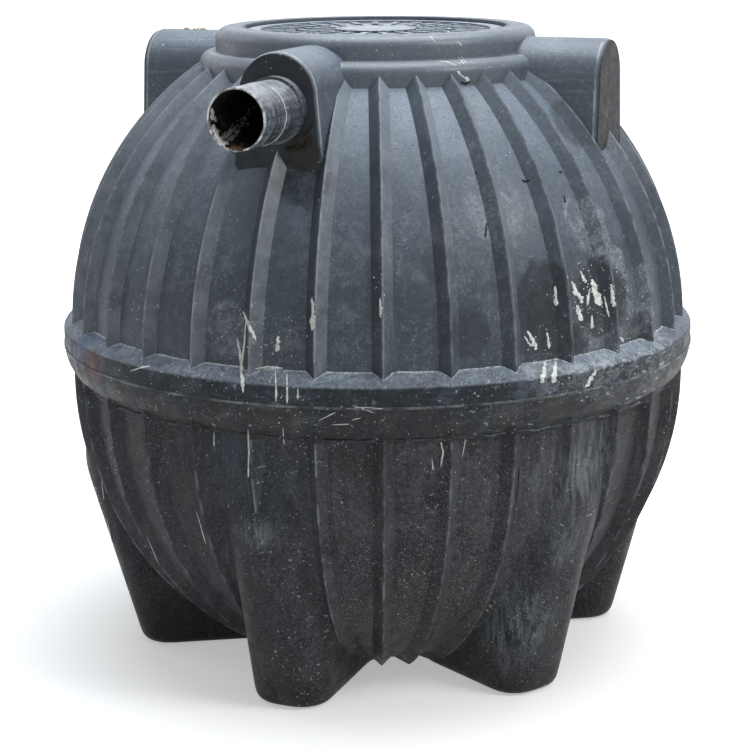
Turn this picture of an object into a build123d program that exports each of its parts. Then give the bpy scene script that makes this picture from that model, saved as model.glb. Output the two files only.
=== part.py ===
from build123d import *
import math
import os

# Spherical septic tank, moulded in two ribbed halves.
# Millimetres, +Z up, origin on the floor under the middle of the tank.
# The inlet looks along -Y and the outlet along +Y.

# Ribbed body
crest_radius = 705.0
rib_height = 22.0
rib_width = 43.0
ribs_per_segment = 4
shell_segments = 8
wall = 10.0
straight_height = 124.0
flat_bottom_z = 12.0
bottom_trim = 54.0
bottom_thickness = 12.0

# Belt round the seam of the two halves
belt_stand = 18.0
belt_top_rise = 20.0
belt_slope_drop = 21.0
belt_edge_round = 10.0
belt_seam_drop = 43.0
belt_seam_width = 5.0
belt_seam_height = 1.5
belt_foot_rise = 4.0
belt_segments = 4

# Neck: a bulging ring with an upright rim on it
ring_radius = 396.0
ring_height = 52.0
ring_round = 26.0
rim_radius = 360.0
rim_height = 52.0
rim_round = 26.0
neck_segments = 4
seat_radius = 295.0
seat_depth = 30.0
seat_ledge = 22.0

# Lid
lid_clearance = 6.0
seat_gap = 0.3
lid_sink = 7.0
lid_thickness = 14.0
lid_border = 30.0
lid_tread_drop = 5.0
lid_hub_radius = 92.0
lid_skirt_depth = 18.0
lid_skirt_wall = 8.0
lid_ribs = 12
lid_rib_wall = 6.0
tread_rows = 2
tread_spacing = 46.0
tread_bar_width = 15.0
tread_bar_height = 3.0
tread_row_gap = 9.0
grip_count = 4
grip_length = 52.0
grip_width = 20.0
grip_depth = 8.0
grip_turn = 20.0

# Arched pipe housings, one on every fourth of the tank
housing_count = 4
housing_sill = 19.0
housing_half_width = 85.7
housing_draft = 5.0
housing_top_drop = 18.4
housing_foot_rise = 150.0
housing_edge_depth = 4.0
housing_edge_length = 12.0

# Pipes
pipe_radius = 62.5
pipe_wall = 3.7
pipe_drop = 30.0
pipe_reach = 188.4
pipe_inside = 18.0
pipe_fit = 0.3
collar_height = 6.0
collar_length = 20.0
pipe_angles = {"inlet": 0.0, "outlet": 180.0}

# Legs
leg_count = 6
leg_thickness = 180.0
leg_inner_radius = 250.0
leg_toe_inset = 137.0
leg_shoulder_inset = 12.0
leg_shoulder_drop = 190.0
leg_top_inset = 40.0
leg_top_drop = 81.0
leg_shoulder_round = 150.0
leg_toe_round = 24.0
leg_nose_round = 70.0

# Sizes that follow from those above
valley_radius = crest_radius - rib_height
inner_radius = valley_radius - wall
root_radius = valley_radius - wall / 2
lower_centre_z = flat_bottom_z + valley_radius - bottom_trim
upper_centre_z = lower_centre_z + straight_height
rib_count = ribs_per_segment * shell_segments
rib_pitch = 360.0 / rib_count
segment_angle = 360.0 / shell_segments
neck_angle = 360.0 / neck_segments
seam_z = upper_centre_z - belt_seam_drop
ring_foot_z = upper_centre_z + math.sqrt(inner_radius ** 2 - ring_radius ** 2)
ring_top_z = upper_centre_z + math.sqrt(valley_radius ** 2 - ring_radius ** 2) + ring_height
rim_top_z = ring_top_z + rim_height
seat_z = rim_top_z - seat_depth
hatch_radius = seat_radius - seat_ledge
housing_arch_z = rim_top_z - housing_top_drop - housing_half_width
housing_foot_z = upper_centre_z + housing_foot_rise
pipe_z = housing_arch_z - pipe_drop
sill_rise = pipe_z - pipe_radius - housing_sill - upper_centre_z
housing_face_radius = math.sqrt(crest_radius ** 2 - sill_rise ** 2)
far = 2.0 * crest_radius


def turned(shape, angle):
    """Turn a shape about the upright axis, counted from the inlet side."""
    return Rot(0, 0, angle) * shape


def radial_plane():
    """Sketch plane whose x runs out towards the inlet and whose y runs up."""
    return Plane(origin=(0, 0, 0), x_dir=(0, -1, 0), z_dir=(-1, 0, 0))


def spin(face, start, angle):
    """Revolve a flat section about the upright axis, from one azimuth on."""
    solid = revolve(radial_plane() * face, axis=Axis.Z, revolution_arc=angle)
    return turned(solid, start)


def strip(inner, outer, bottom, top):
    """Rectangle in the section, between two radii and two heights."""
    middle = Pos((inner + outer) / 2, (bottom + top) / 2)
    return middle * Rectangle(outer - inner, top - bottom)


def top_rounded(face, radius):
    """Round the upper outer corner of a section."""
    corner = face.vertices().group_by(Axis.Y)[-1].sort_by(Axis.X)[-1]
    return fillet(corner, radius)


def ball(radius, centre_z):
    """Solid ball on the upright axis."""
    return Pos(0, 0, centre_z) * Sphere(radius)


def rib_section():
    """Triangle across a rib, its tip on the crest and its root in the wall."""
    slope = rib_width / 2 / rib_height
    half_root = slope * (crest_radius - root_radius)
    tip = (crest_radius, 0)
    return make_face(Polyline((root_radius, -half_root), tip, (root_radius, half_root), close=True))


def rib(centre_z, angle, upper):
    """Straight-sided ridge that follows one meridian of a half."""
    arc = revolve(rib_section(), axis=Axis.Y, revolution_arc=-90 if upper else 90)
    return turned(Pos(0, 0, centre_z) * Rot(0, 0, -90) * arc, angle)


def rib_stub(angle):
    """Upright end of a rib, from the lower half up into the belt."""
    post = extrude(rib_section(), amount=seam_z - lower_centre_z)
    return turned(Pos(0, 0, lower_centre_z) * Rot(0, 0, -90) * post, angle)


def segment_ribs(index):
    """Azimuths of the ribs that one shell segment carries."""
    first = index * ribs_per_segment - ribs_per_segment // 2 + 1
    return [(first + step) * rib_pitch for step in range(ribs_per_segment)]


def segment_start(index):
    """First azimuth of a shell segment, half way between two ribs."""
    return segment_ribs(index)[0] - rib_pitch / 2


def ribs_near(angle, half_width, radius):
    """Azimuths of the ribs that can touch a piece this wide at this radius."""
    spread = math.degrees(math.asin(half_width / radius)) + rib_pitch
    first = math.ceil((angle - spread) / rib_pitch)
    last = math.floor((angle + spread) / rib_pitch)
    return [number * rib_pitch for number in range(first, last + 1)]


def half_segment(index, centre_z, upper):
    """One segment of a ribbed half, from its equator up or down."""
    side = 1 if upper else -1
    quarter = Pos(far / 2, side * far / 2) * Rectangle(far, far)
    shell = Pos(0, centre_z) * ((Circle(valley_radius) - Circle(inner_radius)) & quarter)
    solid = spin(shell, segment_start(index), segment_angle)
    for angle in segment_ribs(index):
        solid += rib(centre_z, angle, upper)
    solid -= ball(inner_radius, centre_z)
    slice_face = strip(0, far, -far, far)
    return solid & spin(slice_face, segment_start(index), segment_angle)


def make_upper_segment(index):
    """Ribbed part of the upper half, cut off at the neck ring."""
    return half_segment(index, upper_centre_z, True) - Cylinder(ring_radius, 4 * far)


def make_lower_segment(index):
    """Ribbed part of the lower half, cut off at the flat bottom."""
    below = Pos(0, 0, flat_bottom_z - far / 2) * Box(2 * far, 2 * far, far)
    return half_segment(index, lower_centre_z, False) - below


def belt_section():
    """Belt with a sloping top, an upright face and an underside that curves in."""
    belt_radius = crest_radius + belt_stand
    top_z = upper_centre_z + belt_top_rise
    edge_z = top_z - belt_slope_drop
    foot = (valley_radius, lower_centre_z + belt_foot_rise)
    outline = Polyline(
        foot, (valley_radius, lower_centre_z), (inner_radius, lower_centre_z),
        (inner_radius, upper_centre_z), (root_radius, upper_centre_z), (root_radius, top_z),
        (valley_radius, top_z), (belt_radius, edge_z), (belt_radius, seam_z),
    )
    underside = TangentArc((belt_radius, seam_z), foot, tangent=(0, -1))
    face = make_face(outline.edges() + underside.edges())
    edge = face.vertices().group_by(Axis.X)[-1].sort_by(Axis.Y)[-1]
    face = fillet(edge, belt_edge_round)
    seam = Pos(belt_radius, seam_z) * Rectangle(2 * belt_seam_height, belt_seam_width)
    return face + seam


def make_belt_segment(index, upper_neighbours):
    """Quarter of the belt, with the upright ends of the lower ribs under it."""
    per_belt = shell_segments // belt_segments
    first = index * per_belt
    solid = spin(belt_section(), segment_start(first), 360.0 / belt_segments)
    for number in range(first, first + per_belt):
        for angle in segment_ribs(number):
            solid += rib_stub(angle)
    for shell in upper_neighbours:
        solid -= shell
    return solid


def make_bottom():
    """Flat floor of the tank."""
    slab = Pos(0, 0, flat_bottom_z + bottom_thickness / 2) * Cylinder(crest_radius, bottom_thickness)
    return slab & ball(inner_radius, lower_centre_z)


def ring_block(inset):
    """Half section of the ring's outside, or of the hollow that lies inside it."""
    block = strip(0, ring_radius - inset, ring_foot_z, ring_top_z - inset)
    return top_rounded(block, ring_round - inset)


def rim_block():
    """Half section of the rim as if it were solid."""
    return top_rounded(strip(0, rim_radius, ring_top_z - wall, rim_top_z), rim_round)


def neck_segment(section, index):
    """Quarter of the neck, turned from its section."""
    return spin(section, index * neck_angle - neck_angle / 2, neck_angle)


def make_ring_segment(index):
    """Quarter of the bulging ring between body and rim."""
    section = ring_block(0) - ring_block(wall) - strip(0, rim_radius, ring_foot_z, ring_top_z)
    return neck_segment(section, index)


def make_rim_segment(index):
    """Quarter of the rim with the recess that the lid rests in."""
    section = rim_block()
    section -= strip(0, rim_radius - wall, ring_top_z - wall, seat_z - wall)
    section -= strip(0, hatch_radius, seat_z - wall, rim_top_z)
    section -= strip(0, seat_radius, seat_z, rim_top_z)
    return neck_segment(section, index)


def housing_outline(inset):
    """Arch whose straight sides leave the round tangentially and spread by the draft."""
    radius = housing_half_width - inset
    draft = math.radians(housing_draft)
    side = radius * math.cos(draft)
    side_z = housing_arch_z + radius * math.sin(draft)
    foot = radius / math.cos(draft) + (housing_arch_z - housing_foot_z) * math.tan(draft)
    flanks = Polyline(
        (-foot, housing_foot_z), (foot, housing_foot_z), (side, side_z), (-side, side_z), close=True,
    )
    return Pos(0, housing_arch_z) * Circle(radius) + make_face(flanks)


def outward_plane(radius):
    """Upright plane across the inlet direction, looking outwards."""
    return Plane(origin=(0, -radius, 0), x_dir=(1, 0, 0), z_dir=(0, -1, 0))


def housing_block():
    """Outside of one housing, from inside the neck to its face."""
    block = outward_plane(housing_face_radius) * housing_outline(0)
    block = extrude(block, amount=-(housing_face_radius - hatch_radius))
    face = block.faces().sort_by(Axis.Y)[0]
    arch = face.edges().sort_by(Axis.Z)[1:]
    return chamfer(arch, housing_edge_depth, housing_edge_length, reference=face)


def housing_cavity():
    """Hollow of one housing, which opens down into the tank."""
    reach = housing_face_radius - wall
    outline = outward_plane(reach) * housing_outline(wall)
    return extrude(outline, amount=-(reach - ring_radius - wall))


def pipe_hole():
    """Round hole for a pipe through the face of a housing."""
    hole = Cylinder(pipe_radius + pipe_fit, 3 * wall)
    return Pos(0, -(housing_face_radius - wall), pipe_z) * Rot(90, 0, 0) * hole


def has_pipe(angle):
    """Whether the housing at this azimuth carries a pipe."""
    return angle in pipe_angles.values()


def make_housing(index, neck):
    """Hollow arched housing, seated on the ribs and against the neck."""
    solid = housing_block() - housing_cavity() - ball(valley_radius, upper_centre_z)
    for angle in ribs_near(0, housing_half_width, ring_radius):
        solid -= rib(upper_centre_z, angle, True)
    solid -= neck
    angle = index * 360.0 / housing_count
    if has_pipe(angle):
        solid -= pipe_hole()
    return turned(solid, angle)


def make_pipe(angle):
    """Open pipe with a collar where it leaves the housing."""
    inner_end = housing_face_radius - wall - pipe_inside
    length = wall + pipe_inside + pipe_reach
    along = (Align.CENTER, Align.CENTER, Align.MIN)
    tube = Cylinder(pipe_radius, length, align=along)
    collar = Cylinder(pipe_radius + collar_height, collar_length, align=along)
    tube += Pos(0, 0, wall + pipe_inside) * collar
    tube -= Cylinder(pipe_radius - pipe_wall, length, align=along)
    return turned(Pos(0, -inner_end, pipe_z) * Rot(90, 0, 0) * tube, angle)


def leg_profile():
    """Side view of a leg: flat foot, leaning nose and rounded shoulder."""
    toe = crest_radius - leg_toe_inset
    shoulder = crest_radius - leg_shoulder_inset
    top_z = lower_centre_z - leg_top_drop
    outline = Polyline(
        (leg_inner_radius, 0), (toe, 0), (shoulder, lower_centre_z - leg_shoulder_drop),
        (crest_radius - leg_top_inset, top_z), (leg_inner_radius, top_z), close=True,
    )
    face = make_face(outline)
    return fillet(face.vertices().sort_by(Axis.X)[-1], leg_shoulder_round)


def leg_blank():
    """Leg before it is cut to the body, its nose and its toe rounded all round."""
    slab = extrude(radial_plane() * leg_profile(), amount=leg_thickness / 2, both=True)
    sides = slab.edges().group_by(Axis.X)[0] + slab.edges().group_by(Axis.X)[-1]
    nose = [edge for edge in sides if edge.center().Y < -leg_inner_radius and edge.center().Z > 0]
    slab = fillet(nose, leg_nose_round)
    foot = slab.faces().sort_by(Axis.Z)[0]
    toe = [edge for edge in foot.edges() if edge.center().Y < -leg_inner_radius]
    return fillet(toe, leg_toe_round)


def make_leg(angle):
    """Radial leg, cut to the ribs of the lower half."""
    solid = turned(leg_blank(), angle) - ball(valley_radius, lower_centre_z)
    for rib_angle in ribs_near(angle, leg_thickness / 2, leg_inner_radius):
        solid -= rib(lower_centre_z, rib_angle, False)
    return max(solid.solids(), key=lambda piece: piece.volume)


def tread_row(inner, outer, bottom):
    """Ring of short raised bars."""
    bar = Pos(0, 0, bottom) * Box(
        outer - inner, tread_bar_width, tread_bar_height,
        align=(Align.CENTER, Align.CENTER, Align.MIN),
    )
    middle = (inner + outer) / 2
    count = math.floor(2 * math.pi * middle / tread_spacing)
    return [place * bar for place in PolarLocations(middle, count)]


def make_lid():
    """Round lid with a border, a hub, rows of tread bars and grip slots."""
    upward = (Align.CENTER, Align.CENTER, Align.MIN)
    radius = seat_radius - lid_clearance
    foot_z = seat_z + seat_gap
    top_z = rim_top_z - lid_sink
    field_z = top_z - lid_tread_drop
    field_radius = radius - lid_border
    solid = Pos(0, 0, foot_z) * Cylinder(radius, top_z - foot_z, align=upward)
    solid -= Pos(0, 0, field_z) * Cylinder(field_radius, lid_tread_drop, align=upward)
    solid += Pos(0, 0, field_z) * Cylinder(lid_hub_radius, lid_tread_drop, align=upward)
    row_length = (field_radius - lid_hub_radius - tread_row_gap) / tread_rows
    for row in range(tread_rows):
        inner = lid_hub_radius + tread_row_gap + row * row_length
        for bar in tread_row(inner, inner + row_length - tread_row_gap, field_z):
            solid += bar
    grip = Box(grip_width, grip_length, 2 * grip_depth)
    grip_ring = lid_hub_radius + tread_row_gap / 2 + row_length
    for place in PolarLocations(grip_ring, grip_count, grip_turn):
        solid -= Pos(0, 0, field_z) * place * grip
    hollow_radius = hatch_radius - lid_clearance - lid_skirt_wall
    underside_z = top_z - lid_thickness
    skirt = Cylinder(hatch_radius - lid_clearance, lid_skirt_depth, align=upward)
    solid += Pos(0, 0, foot_z - lid_skirt_depth) * skirt
    hollow = Cylinder(hollow_radius, underside_z - foot_z + lid_skirt_depth, align=upward)
    solid -= Pos(0, 0, foot_z - lid_skirt_depth) * hollow
    web = Box(hollow_radius, lid_rib_wall, underside_z - foot_z, align=(Align.MIN, Align.CENTER, Align.MIN))
    for step in range(lid_ribs):
        solid += Pos(0, 0, foot_z) * turned(web, step * 360.0 / lid_ribs)
    return solid


def save(shape, name):
    """Write one piece under its own name."""
    export_step(shape, f"parts/{name}.step")


os.makedirs("parts", exist_ok=True)

for index in range(neck_segments):
    save(make_ring_segment(index), f"neck_ring_{index + 1}")
    save(make_rim_segment(index), f"neck_rim_{index + 1}")

neck_block = spin(ring_block(0) + rim_block(), 0, 360)
for index in range(housing_count):
    save(make_housing(index, neck_block), f"pipe_housing_{index + 1}")
for name, angle in pipe_angles.items():
    save(make_pipe(angle), f"{name}_pipe")

upper_shells = [make_upper_segment(index) for index in range(shell_segments)]
per_belt = shell_segments // belt_segments
for index in range(belt_segments):
    covered = upper_shells[index * per_belt:(index + 1) * per_belt]
    save(make_belt_segment(index, covered), f"belt_{index + 1}")

housing_spacing = 360.0 / housing_count
for index, upper in enumerate(upper_shells):
    middle = index * segment_angle
    if middle % housing_spacing == 0:
        upper = upper - turned(housing_cavity(), middle)
    if has_pipe(middle):
        upper = upper - turned(pipe_hole(), middle)
    save(upper, f"upper_shell_{index + 1}")
    save(make_lower_segment(index), f"lower_shell_{index + 1}")

save(make_bottom(), "bottom")
for index in range(leg_count):
    save(make_leg(index * 360.0 / leg_count), f"leg_{index + 1}")
save(make_lid(), "lid")
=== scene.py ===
import math
import random

import bmesh
import bpy
from mathutils import Matrix, Vector, noise
from mathutils.bvhtree import BVHTree


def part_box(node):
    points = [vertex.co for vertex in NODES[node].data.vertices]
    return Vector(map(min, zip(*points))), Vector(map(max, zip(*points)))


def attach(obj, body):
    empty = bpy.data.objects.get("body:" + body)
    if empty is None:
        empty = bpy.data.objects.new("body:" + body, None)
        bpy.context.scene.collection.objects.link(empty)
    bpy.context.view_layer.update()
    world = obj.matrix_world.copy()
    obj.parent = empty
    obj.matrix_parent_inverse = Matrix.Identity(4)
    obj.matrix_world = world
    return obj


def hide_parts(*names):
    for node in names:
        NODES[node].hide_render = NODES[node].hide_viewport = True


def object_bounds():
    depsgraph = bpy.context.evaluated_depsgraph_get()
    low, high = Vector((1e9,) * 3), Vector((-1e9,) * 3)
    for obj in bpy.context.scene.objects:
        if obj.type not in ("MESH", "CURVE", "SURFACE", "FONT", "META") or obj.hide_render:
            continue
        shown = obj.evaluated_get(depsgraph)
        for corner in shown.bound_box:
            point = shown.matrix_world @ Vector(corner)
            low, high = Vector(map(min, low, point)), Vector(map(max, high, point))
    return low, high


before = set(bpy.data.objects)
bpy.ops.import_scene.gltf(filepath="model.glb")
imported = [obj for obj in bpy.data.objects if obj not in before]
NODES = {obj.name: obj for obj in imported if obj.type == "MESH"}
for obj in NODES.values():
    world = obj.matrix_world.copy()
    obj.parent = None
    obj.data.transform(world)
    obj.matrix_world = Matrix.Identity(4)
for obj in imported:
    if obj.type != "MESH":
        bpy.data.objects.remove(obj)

bl_info = {
    "name": "Septic tank looks",
    "version": (1, 0, 0),
    "blender": (4, 5, 0),
    "location": "3D View > Sidebar > Tank",
    "description": "Finish, dirt, lighting and camera for a ribbed moulded septic tank",
    "category": "Object",
}

cad_low, cad_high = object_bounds()

# Sizes of the CAD model that the finishes and the small pieces follow, in metres.
UPPER_CENTRE = (0, 0, 0.765)
LOWER_CENTRE = (0, 0, 0.641)
CREST = (0.7005, 0.7046)
VALLEY_RADIUS = 0.683
BELT_TOP_Z = 0.785
BELT_SLOPE = 0.525
SEAM_Z = 0.722
BELT_FOOT_Z = 0.6455
BELT_FOOT_RADIUS = 0.687
RING_TOP_Z = 1.3742
PIPE_Z = 1.2914
PIPE_RADIUS = 0.0625
LEG_HALF_WIDTH = 0.155
LEG_TOP_Z = 0.565
LEG_BACK = 0.235
LEG_UNDER_WALL = 0.6765

# Colours that no panel setting needs.
WHITE = (1.0, 1.0, 1.0)
NEAR_BLACK = (0.012, 0.013, 0.015)
# Painted shade on one flank of each lower rib.
FLANK_SHADE_BLACK = (0.008, 0.008, 0.010)
MUD = (0.014, 0.010, 0.007)
BLUE_HAZE = (0.050, 0.064, 0.085)


def group(*starts):
    """CAD nodes whose names start with one of these words."""
    return [NODES[name] for name in sorted(NODES) if name.startswith(starts)]


class Sight:
    """Lines of sight of the camera, and where they meet the tank."""

    WIDTH, HEIGHT = 753, 754

    def __init__(self, camera, objects):
        self.frame = camera.matrix_world.copy()
        self.focal = camera.data.lens / camera.data.sensor_width * self.HEIGHT
        corners, faces = [], []
        for item in objects:
            start = len(corners)
            corners += [v.co.copy() for v in item.data.vertices]
            faces += [[start + i for i in p.vertices] for p in item.data.polygons]
        self.tree = BVHTree.FromPolygons(corners, faces)

    def meet(self, x, y):
        """Point and outward normal of the tank that shows at this place of the picture."""
        aim = Vector(((x - self.WIDTH / 2) / self.focal, (self.HEIGHT / 2 - y) / self.focal, -1.0))
        start = self.frame.translation
        way = (self.frame.to_3x3() @ aim).normalized()
        point, normal, _, _ = self.tree.ray_cast(start, way)
        if point is None:
            return None, None
        return point, normal if normal.dot(way) < 0 else -normal


class Nodes:
    """Short calls that add shader nodes to an emptied node tree."""

    def __init__(self, tree):
        self.tree = tree
        tree.nodes.clear()

    def add(self, kind, **settings):
        node = self.tree.nodes.new(kind)
        for key, value in settings.items():
            setattr(node, key, value)
        return node

    def feed(self, socket, value):
        if isinstance(value, bpy.types.NodeSocket):
            self.tree.links.new(value, socket)
        else:
            socket.default_value = value

    def fed(self, kind, inputs, **settings):
        node = self.add(kind, **settings)
        for key, value in inputs.items():
            self.feed(node.inputs[key], value)
        return node

    def emit(self, kind, colour, strength):
        return self.fed(kind, {"Color": (*colour, 1.0), "Strength": strength}).outputs[0]

    def seen(self):
        """1 for a ray that shows the white ground, straight or in a reflection, else 0."""
        rays = self.add("ShaderNodeLightPath").outputs
        return self.most(rays["Is Camera Ray"], rays["Is Glossy Ray"], rays["Is Transmission Ray"])

    def math(self, operation, first, second=0.0, clamp=False):
        inputs = {0: first, 1: second}
        return self.fed("ShaderNodeMath", inputs, operation=operation, use_clamp=clamp).outputs[0]

    def times(self, first, *others):
        for other in others:
            first = self.math("MULTIPLY", first, other)
        return first

    def most(self, first, *others):
        for other in others:
            first = self.math("MAXIMUM", first, other)
        return first

    def between(self, value, low, high, start=0.0, end=1.0):
        """Smooth step from start to end while the value runs from low to high."""
        ends = {"Value": value, "From Min": low, "From Max": high, "To Min": start, "To Max": end}
        return self.fed("ShaderNodeMapRange", ends, interpolation_type="SMOOTHSTEP").outputs["Result"]

    def fall(self, value, low, high):
        """1 up to low, falling to 0 at high."""
        return self.between(value, low, high, 1.0, 0.0)

    def band(self, value, middle, inner, outer):
        """1 within inner of the middle value, falling to 0 at outer."""
        return self.fall(self.math("ABSOLUTE", self.math("SUBTRACT", value, middle)), inner, outer)

    def length(self, first, second):
        return self.math("SQRT", self.math("ADD", self.times(first, first), self.times(second, second)))


class Finish(Nodes):
    """One material, with masks that follow the tank."""

    def __init__(self, name, sight=None):
        self.material = bpy.data.materials.new(name)
        self.material.use_nodes = True
        super().__init__(self.material.node_tree)
        self.sight = sight
        self.place = self.add("ShaderNodeTexCoord").outputs["Object"]
        self.surface = self.add("ShaderNodeNewGeometry")
        self.base = None

    def mapped(self, stretch=(1, 1, 1), turn=(0, 0, 0)):
        turn = [math.radians(angle) for angle in turn]
        inputs = {"Vector": self.place, "Scale": stretch, "Rotation": turn}
        return self.fed("ShaderNodeMapping", inputs).outputs["Vector"]

    def cloud(self, scale, detail=4.0, rough=0.55, warp=0.0, stretch=(1, 1, 1), turn=(0, 0, 0)):
        """Noise between 0 and 1, in cycles per metre."""
        inputs = {"Vector": self.mapped(stretch, turn), "Scale": scale, "Detail": detail}
        inputs |= {"Roughness": rough, "Distortion": warp}
        return self.fed("ShaderNodeTexNoise", inputs).outputs["Fac"]

    def veil(self, noise, *steps):
        """Noise with these settings, cut to a mask."""
        return self.between(self.cloud(*noise), *steps)

    def dots(self, scale, size, share, turn=(0, 0, 0)):
        """Dots of mixed sizes in this share of the cells, 1 inside and 0 outside."""
        inputs = {"Vector": self.mapped(turn=turn), "Scale": scale}
        node = self.fed("ShaderNodeTexVoronoi", inputs, feature="F1")
        chance = self.fed("ShaderNodeSeparateColor", {0: node.outputs["Color"]})
        reach = self.math("MULTIPLY_ADD", chance.outputs["Green"], size * 0.7)
        reach.node.inputs[2].default_value = size * 0.3
        inside = self.fall(node.outputs["Distance"], self.times(reach, 0.55), reach)
        return self.times(inside, self.math("LESS_THAN", chance.outputs["Red"], share))

    def scratches(self, scale, length, turn, rare):
        """Thin lines, this many times longer than wide, 1 inside and 0 outside."""
        lines = self.cloud(scale, 1.5, 0.5, 0.25, (1, 1 / length, 1), turn)
        return self.between(lines, rare, rare + 0.03)

    def axis(self, name):
        return self.fed("ShaderNodeSeparateXYZ", {0: self.place}).outputs[name]

    def facing_up(self):
        return self.fed("ShaderNodeSeparateXYZ", {0: self.surface.outputs["Normal"]}).outputs["Z"]

    def sideways(self):
        """How far a face of a rib looks round the tank: 1 anticlockwise, -1 clockwise, 0 straight out."""
        normal = self.fed("ShaderNodeSeparateXYZ", {0: self.surface.outputs["Normal"]})
        x, y = self.axis("X"), self.axis("Y")
        cross = self.math("SUBTRACT", self.times(x, normal.outputs["Y"]), self.times(y, normal.outputs["X"]))
        return self.math("DIVIDE", cross, self.length(x, y))

    def rightward(self):
        """Metres to the right of the tank's middle, as the photo shows it."""
        return self.math("ADD", self.times(self.axis("X"), 0.929), self.times(self.axis("Y"), 0.369))

    def reach(self):
        """Metres from the tank's upright axis."""
        return self.length(self.axis("X"), self.axis("Y"))

    def distance(self, point):
        """Metres from a point of the tank, or from what shows at a place of the picture."""
        if len(point) == 2:
            point, _ = self.sight.meet(*point)
        ends = {0: self.place, 1: point}
        return self.fed("ShaderNodeVectorMath", ends, operation="DISTANCE").outputs["Value"]

    def near(self, point, radius):
        """1 at the point, falling to 0 at the radius."""
        return self.fall(self.distance(point), radius * 0.3, radius)

    def blot(self, point, radius, scale=12.0, stretch=(1, 1, 1)):
        """Ragged patch round a point, 1 inside and 0 outside."""
        edge = self.math("MULTIPLY_ADD", self.cloud(scale, 7.0, 0.72, 0.8, stretch), 1.8)
        edge.node.inputs[2].default_value = -0.9
        middle = self.fall(self.distance(point), 0.0, radius)
        return self.between(self.math("ADD", middle, edge), 0.40, 0.60)

    def colour(self, factor, first, second):
        node = self.add("ShaderNodeMix", data_type="RGBA")
        self.feed(node.inputs["Factor"], factor)
        self.feed(node.inputs[6], first if isinstance(first, bpy.types.NodeSocket) else (*first, 1.0))
        self.feed(node.inputs[7], second if isinstance(second, bpy.types.NodeSocket) else (*second, 1.0))
        return node.outputs[2]

    def lay(self, colour, *factors):
        """Lay a colour over the base, as thickly as the factors' product."""
        self.base = self.colour(self.times(*factors), self.base, colour)

    def bump(self, height, depth, strength=1.0, before=None):
        """Bump whose full height is this many metres."""
        node = self.fed("ShaderNodeBump", {"Height": height, "Distance": depth, "Strength": strength})
        if before is not None:
            self.feed(node.inputs["Normal"], before)
        return node.outputs["Normal"]

    def shade(self, roughness, normal, gloss):
        shader = self.add("ShaderNodeBsdfPrincipled")
        self.feed(shader.inputs["Base Color"], self.base)
        self.feed(shader.inputs["Roughness"], roughness)
        shader.inputs["Specular IOR Level"].default_value = gloss
        self.feed(shader.inputs["Normal"], normal)
        self.feed(self.add("ShaderNodeOutputMaterial").inputs["Surface"], shader.outputs[0])
        return self.material


def setting(label, hint, default, **limits):
    return bpy.props.FloatProperty(name=label, description=hint, default=default, **limits)


class TankLooks(bpy.types.PropertyGroup):
    """Colours of the tank's plastics and of the dirt on them."""

    def shade_of(label, hint, default):
        return bpy.props.FloatVectorProperty(
            name=label, description=hint, default=default, size=3, subtype="COLOR", min=0.0, max=1.0
        )

    upper: shade_of("Upper plastic", "Moulded plastic of the upper half and the neck", (0.042, 0.052, 0.066))
    # Upper bloom is also painted as sky light on faces that look up.
    upper_pale: shade_of("Upper bloom", "Faded plastic where sun and rain bleached it", (0.190, 0.232, 0.290))
    # Lower plastic is darker than the upper partly as painted shade of the half that faces down.
    lower: shade_of("Lower plastic", "Moulded plastic of the lower half and the legs", (0.019, 0.019, 0.022))
    lower_pale: shade_of("Lower haze", "Dusty haze on the lower half", (0.084, 0.084, 0.092))
    soil: shade_of("Soil", "Brown soil in corners and low down", (0.075, 0.058, 0.040))
    dust: shade_of("Dust", "Pale dust and specks", (0.42, 0.46, 0.49))
    lime: shade_of("Lime drips", "Dried cement drips", (0.76, 0.76, 0.72))
    # Worn edge is also painted as highlight on rib flanks and crests, the belt's edges and the pipe's top.
    worn_and_highlight: shade_of("Worn edge", "Plastic scraped pale on edges", (0.30, 0.32, 0.35))
    # Wiped plastic is also painted as shade on rib flanks and under the inlet housing.
    wiped_and_shade: shade_of("Wiped plastic", "Plastic wiped clean and wet, nearly black", (0.016, 0.019, 0.024))
    gloss: setting("Gloss", "Specular level of the upper shells", 0.22, min=0.0, max=1.0, subtype="FACTOR")


class TankSizes(bpy.types.PropertyGroup):
    """Sizes of the small pieces that are added to the CAD model."""

    drip_height: setting("Drip height", "How far a dried drip stands proud", 0.0012, unit="LENGTH")
    seed: bpy.props.IntProperty(name="Seed", description="Seed of the scattered dirt", default=7)
    leg_voxel: setting("Leg grain", "Grid size that melts a leg into the ribs", 0.005, unit="LENGTH")
    leg_passes: bpy.props.IntProperty(
        name="Leg softness", description="How many times a leg's surface is evened out", default=140, min=0
    )


class TankStage(bpy.types.PropertyGroup):
    """Camera and light."""

    lens: setting("Lens", "Focal length on a 36 mm sensor", 94.137)
    camera_turn: setting("Turn", "Azimuth from the inlet", math.radians(21.66), subtype="ANGLE")
    camera_tilt: setting("Tilt", "How far it looks down", math.radians(13.906), subtype="ANGLE")
    camera_roll: setting("Roll", "Turn about the line of sight", -0.0067, subtype="ANGLE")
    camera_distance: setting("Distance", "From the camera to the tank's axis", 4.5028, unit="LENGTH")
    camera_height: setting("Height", "Camera above the floor", 1.723, unit="LENGTH")
    floor_half: setting("Floor", "Half the width of the floor", 60.0, unit="LENGTH")


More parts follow.
